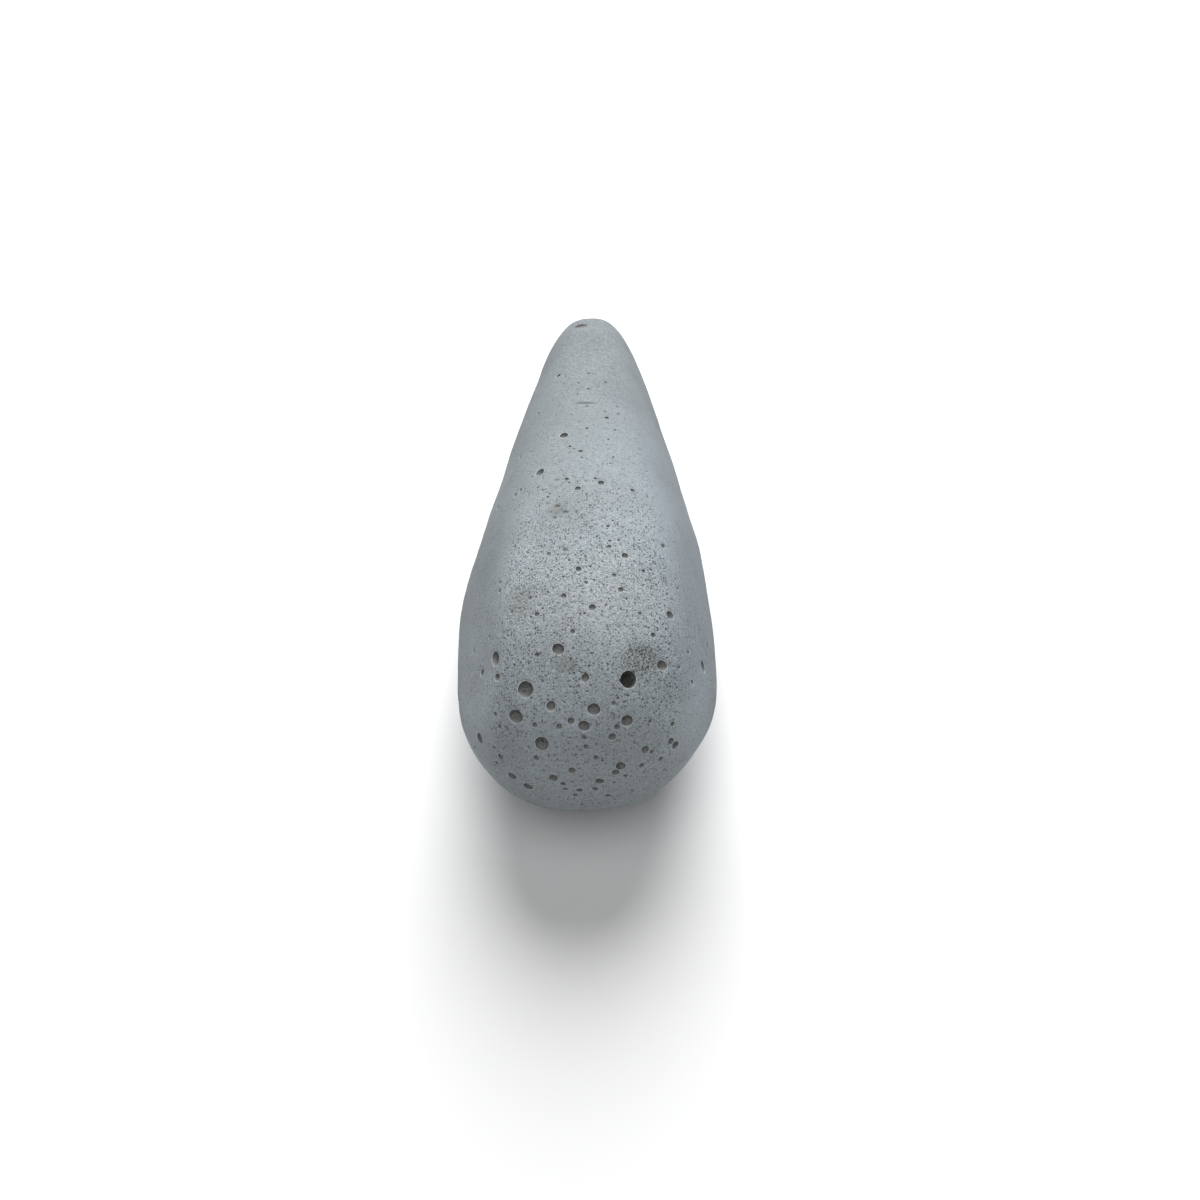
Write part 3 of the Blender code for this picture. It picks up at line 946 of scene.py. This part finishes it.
class Nodes:
    """Short ways to add and join the nodes of one material. A value is a number, a colour or a socket."""

    def __init__(self, name):
        self.material = bpy.data.materials.new(name)
        self.material.use_nodes = True
        self.tree = self.material.node_tree
        self.shader = self.tree.nodes["Principled BSDF"]

    def join(self, value, socket):
        if isinstance(value, bpy.types.NodeSocket):
            self.tree.links.new(value, socket)
        else:
            socket.default_value = value

    def add(self, kind, inputs=(), **settings):
        node = self.tree.nodes.new(kind)
        for key, value in settings.items():
            setattr(node, key, value)
        for key, value in dict(inputs).items():
            self.join(value, node.inputs[key])
        return node

    def vector(self, operation, inputs):
        return self.add("ShaderNodeVectorMath", inputs, operation=operation)

    def attribute(self, name):
        return self.add("ShaderNodeAttribute", attribute_name=name).outputs["Fac"]

    def math(self, operation, first, second):
        return self.add("ShaderNodeMath", {0: first, 1: second}, operation=operation).outputs[0]

    def ramp(self, value, low, high, to_low=0.0, to_high=1.0):
        inputs = {"Value": value, "From Min": low, "From Max": high, "To Min": to_low, "To Max": to_high}
        node = self.add("ShaderNodeMapRange", inputs, interpolation_type="SMOOTHSTEP")
        return node.outputs["Result"]

    def noise(self, where, scale, detail=2.0, roughness=0.5):
        inputs = {"Vector": where, "Scale": scale, "Detail": detail, "Roughness": roughness}
        return self.add("ShaderNodeTexNoise", inputs).outputs["Fac"]

    def cells(self, where, scale):
        return self.add("ShaderNodeTexVoronoi", {"Vector": where, "Scale": scale})

    def mix(self, amount, first, second, blend="MIX"):
        node = self.add("ShaderNodeMix", data_type="RGBA", blend_type=blend)
        self.join(amount, node.inputs["Factor"])
        self.join(first, node.inputs[6])
        self.join(second, node.inputs[7])
        return node.outputs[2]


def stain(nodes, where, place, size, breaking):
    """Strength of a soft, ragged patch around a place, in the row frame's millimetres."""
    shares = tuple(1.0 / part for part in size)
    away = nodes.vector("SUBTRACT", {0: where, 1: place}).outputs[0]
    squashed = nodes.vector("MULTIPLY", {0: away, 1: shares}).outputs[0]
    distance = nodes.vector("LENGTH", {0: squashed}).outputs["Value"]
    ragged = nodes.math("ADD", distance, nodes.math("MULTIPLY", nodes.noise(where, 0.9, 3.0), 0.5))
    patch = nodes.ramp(ragged, 0.6, 1.35, 1.0, 0.0)
    specks = nodes.ramp(nodes.noise(where, 3.4, 2.0, 0.6), 0.48, 0.58, 1.0 - breaking, 1.0)
    return nodes.math("MULTIPLY", patch, specks)


def dots(nodes, where, scale, share, radius):
    """Round dots at random: cells to the millimetre, the share of them that have one, and its radius."""
    cells = nodes.cells(where, scale)
    chance = nodes.add("ShaderNodeSeparateColor", {0: cells.outputs["Color"]}).outputs[0]
    size = nodes.ramp(chance, 1.0 - share, 1.0, 0.0, radius * scale)
    inside = nodes.math("SUBTRACT", size, cells.outputs["Distance"])
    return nodes.ramp(inside, -0.02, 0.07)


def skin_colour(nodes, where, rough, grains):
    """The skin's colour, with its speckle, blotches, tone, painted shade and light, and painted bluish
    light.
    """
    clouds = nodes.ramp(nodes.noise(where, CLOUD_SCALE, 3.0), 0.3, 0.7)
    colour = nodes.mix(clouds, PALE_STONE, DARK_STONE)
    speckle = nodes.ramp(grains, 0.34, 0.66, -GRAIN_GAIN, GRAIN_GAIN)
    blotches = nodes.ramp(nodes.noise(where, BLOTCH_SCALE, 3.0, 0.6), 0.3, 0.7, -BLOTCH_GAIN, BLOTCH_GAIN)
    lightness = nodes.math("ADD", nodes.math("MULTIPLY", speckle, rough), 1.0)
    lightness = nodes.math("ADD", lightness, nodes.math("MULTIPLY", blotches, nodes.attribute("blotch")))
    # tone, with painted shade and painted light
    lightness = nodes.math("MULTIPLY", lightness, nodes.attribute("tone_and_painted_light"))
    colour = nodes.mix(1.0, colour, lightness, "MULTIPLY")
    # painted bluish light on the right side
    return nodes.mix(nodes.attribute("painted_blue_light"), colour, PAINTED_BLUE_LIGHT_TINT, "MULTIPLY")


def speck_holes(nodes, where, rough):
    """Where the skin has dark specks: painted shade of holes too fine to be cut."""
    holes = nodes.math("MAXIMUM", dots(nodes, where, *COARSE_DOTS), dots(nodes, where, *FINE_DOTS))
    return nodes.math("MULTIPLY", holes, nodes.ramp(rough, 0.2, 1.2, 0.28, 1.0))


def pore_walls(nodes, where, depth, back):
    """Colour of the pores' walls: mottled dirt, with painted shade towards the back and darkest painted
    shade deep down.
    """
    mottle = nodes.math("SUBTRACT", nodes.noise(where, MOTTLE_SCALE, 3.0), 0.5)
    mottle = nodes.math("MULTIPLY", mottle, MOTTLE_GAIN)
    # painted shade on the back walls of the wider pores
    walls = nodes.mix(nodes.ramp(nodes.math("ADD", back, mottle), -0.3, 1.0), PIT_DIRT_AND_SHADE, PAINTED_PIT_SHADE)
    # painted shade deep down in the pores
    return nodes.mix(nodes.ramp(nodes.math("ADD", depth, mottle), *DEEP_SHADE_START), walls, PAINTED_DEEP_SHADE)


def stone_material(to_row):
    nodes = Nodes("pumice")
    here = nodes.add("ShaderNodeTexCoord").outputs["Object"]
    where = nodes.vector("SCALE", {0: here, "Scale": 1.0 / MM}).outputs[0]
    depth = nodes.attribute("depth")
    back = nodes.attribute("back")
    rough = nodes.attribute("grain")
    grains = nodes.noise(where, GRAIN_SCALE, 3.0, 0.75)
    holes = speck_holes(nodes, where, rough)

    colour = skin_colour(nodes, where, rough, grains)
    # painted glints, pale dots in the rougher skin
    painted_glint_amount = nodes.math("MULTIPLY", rough, PAINTED_GLINT_STRENGTH)
    painted_glints = nodes.math("MULTIPLY", dots(nodes, where, *PAINTED_GLINTS), painted_glint_amount)
    colour = nodes.mix(painted_glints, colour, PAINTED_HIGHLIGHT)
    # painted shade in the specks, holes too fine to be cut
    colour = nodes.mix(nodes.math("MULTIPLY", holes, HOLE_SHADE_STRENGTH), colour, PAINTED_HOLE_SHADE)
    for place, size, breaking, dirt, strength in STAINS:
        patch = stain(nodes, where, tuple(to_row @ Vector(place) / MM), size, breaking)
        colour = nodes.mix(nodes.math("MULTIPLY", patch, strength), colour, dirt)

    # painted highlight on the pores' lips, palest towards their back
    rim = nodes.math("MULTIPLY", nodes.ramp(depth, *RIM_HIGHLIGHT_START), nodes.ramp(depth, *RIM_HIGHLIGHT_END, 1.0, 0.0))
    rim_highlight = nodes.mix(nodes.ramp(back, -0.4, 0.6), PAINTED_HIGHLIGHT, PAINTED_BACK_RIM_HIGHLIGHT)
    colour = nodes.mix(nodes.math("MULTIPLY", rim, RIM_HIGHLIGHT_STRENGTH), colour, rim_highlight)
    colour = nodes.mix(nodes.ramp(depth, *WALL_START), colour, pore_walls(nodes, where, depth, back))
    nodes.join(colour, nodes.shader.inputs["Base Color"])
    nodes.shader.inputs["Roughness"].default_value = ROUGHNESS
    nodes.shader.inputs["Specular IOR Level"].default_value = SHINE

    height = nodes.math("MULTIPLY", grains, rough)
    height = nodes.math("SUBTRACT", height, nodes.math("MULTIPLY", holes, DOT_PITS))
    inputs = {"Height": height, "Strength": BUMP_STRENGTH, "Distance": BUMP_HEIGHT}
    nodes.join(nodes.add("ShaderNodeBump", inputs).outputs["Normal"], nodes.shader.inputs["Normal"])
    return nodes.material


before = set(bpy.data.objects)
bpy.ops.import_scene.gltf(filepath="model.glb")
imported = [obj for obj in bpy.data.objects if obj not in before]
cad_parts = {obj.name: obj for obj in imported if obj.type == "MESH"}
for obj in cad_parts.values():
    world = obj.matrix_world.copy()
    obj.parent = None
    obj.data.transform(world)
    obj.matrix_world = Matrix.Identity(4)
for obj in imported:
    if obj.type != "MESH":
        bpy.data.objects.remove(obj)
cad_box = [list(corner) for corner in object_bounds()]
bpy.context.scene.view_settings.view_transform = "Standard"

shell, rest_depth = body_mesh(CELLS)
stone = mesh_object(NAME, shell)
to_row = rest_matrix(stone, cad_box)
pores = from_above(TOP_PORES)
pores[DEEPEST_PORE][3] = DEEPEST_DEPTH
pores += from_the_end(END_PORES)
pores += strewn_pores(pores, rest_depth)
for which, gain, long_way, stretch in SHAPED_PORES:
    pores[which][2] *= gain
    pores[which] += [long_way, stretch]
pores += from_above(SMALL_TOP_PORES) + from_the_end(SMALL_END_PORES)
pores += dished(from_above(DISHES)) + from_the_side(SIDE_PORES)
groups = in_batches(pores)
groups[0] += fine_pores(stone.data, pores, rest_depth)
plain = mesh_points(stone.data)
for group in groups:
    carve(stone, cutters_for(group))
mark_points(stone.data, plain, rest_depth, pores)
stone.data.transform(to_row)
stone.data.shade_smooth()
stone.data.set_sharp_from_angle(angle=CREASE_ANGLE)
stone.data.materials.clear()
stone.data.materials.append(stone_material(to_row))
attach(stone, "root")
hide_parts("pumice_stone")

add_camera(to_row)
add_floor()
add_world()
for lamp in LAMPS:
    add_lamp(*lamp)
